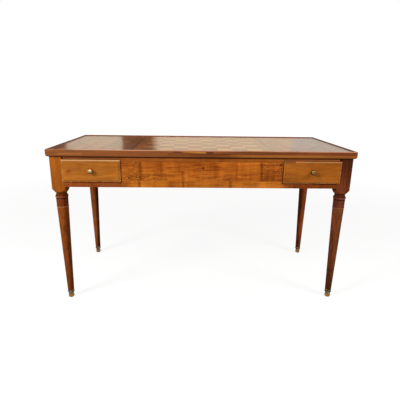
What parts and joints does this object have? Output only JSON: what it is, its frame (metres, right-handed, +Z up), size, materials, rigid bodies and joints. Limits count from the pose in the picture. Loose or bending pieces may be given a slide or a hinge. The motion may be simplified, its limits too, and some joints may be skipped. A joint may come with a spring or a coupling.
{
  "type": "tric-trac table",
  "caption": "Long games table on turned tapering legs with brass shoes, a loose chessboard top with a raised lip over a tric-trac well, and a lipped drawer at each end of its front.",
  "frame": {"origin": "on the floor, under the middle of the top", "axes": "+Z up, -Y towards the front with the drawers, +X to the right seen from the front"},
  "size_m": [1.372, 0.6307, 0.74],
  "materials": {
    "leg_wood": "waxed, worn at the edges",
    "apron_wood": "waxed",
    "panel_wood": "waxed, scratched",
    "drawer_front_wood": "waxed, worn at the edges",
    "carcase_wood": "bare",
    "drawer_lining_wood": "bare",
    "well_wood": "polished",
    "light_point_wood": "polished",
    "dark_point_wood": "polished",
    "bone": "smooth",
    "top_wood": "varnished, worn at the edges",
    "banding_wood": "varnished",
    "string_wood": "varnished",
    "field_wood": "varnished",
    "lozenge_wood": "varnished",
    "light_square_wood": "varnished",
    "dark_square_wood": "varnished",
    "baize": "napped",
    "brass": "aged"
  },
  "bodies": {
    "frame": {"leg_front_left": "leg_wood", "shoe_front_left": "brass", "leg_front_right": "leg_wood", "shoe_front_right": "brass", "leg_rear_left": "leg_wood", "shoe_rear_left": "brass", "leg_rear_right": "leg_wood", "shoe_rear_right": "brass", "front_top_rail": "apron_wood", "front_bottom_rail": "apron_wood", "rear_apron": "apron_wood", "left_apron": "apron_wood", "right_apron": "apron_wood", "front_centre_panel": "panel_wood", "left_partition": "carcase_wood", "left_drawer_runners": "carcase_wood", "left_drawer_kickers": "carcase_wood", "left_drawer_guide": "carcase_wood", "right_partition": "carcase_wood", "right_drawer_runners": "carcase_wood", "right_drawer_kickers": "carcase_wood", "right_drawer_guide": "carcase_wood", "well_ledgers": "carcase_wood", "locating_pegs": "carcase_wood", "well_floor": "well_wood", "well_divider": "well_wood", "light_points": "light_point_wood", "dark_points": "dark_point_wood", "scoring_bushes": "bone"},
    "top": {"top_panel": "top_wood", "lip_front": "top_wood", "lip_rear": "top_wood", "lip_left": "top_wood", "lip_right": "top_wood", "cross_banding": "banding_wood", "stringing": "string_wood", "centre_field": "field_wood", "left_end_field": "field_wood", "right_end_field": "field_wood", "left_lozenge": "lozenge_wood", "right_lozenge": "lozenge_wood", "light_squares": "light_square_wood", "dark_squares": "dark_square_wood", "baize_lining": "baize"},
    "left_drawer": {"left_drawer_front": "drawer_front_wood", "left_drawer_inner_side": "drawer_lining_wood", "left_drawer_outer_side": "drawer_lining_wood", "left_drawer_back": "drawer_lining_wood", "left_drawer_bottom": "drawer_lining_wood", "left_drawer_knob": "brass", "left_drawer_knob_nut": "brass"},
    "right_drawer": {"right_drawer_front": "drawer_front_wood", "right_drawer_inner_side": "drawer_lining_wood", "right_drawer_outer_side": "drawer_lining_wood", "right_drawer_back": "drawer_lining_wood", "right_drawer_bottom": "drawer_lining_wood", "right_drawer_knob": "brass", "right_drawer_knob_nut": "brass"}
  },
  "joints": [
    {"name": "left_drawer_slide", "type": "slide", "parent": "frame", "child": "left_drawer", "axis": [0, -1, 0], "range_m": [0, 0.3]},
    {"name": "right_drawer_slide", "type": "slide", "parent": "frame", "child": "right_drawer", "axis": [0, -1, 0], "range_m": [0, 0.3]},
    {"name": "top_lift", "type": "slide", "parent": "frame", "child": "top", "axis": [0, 0, 1], "range_m": [0, 0.3]}
  ]
}
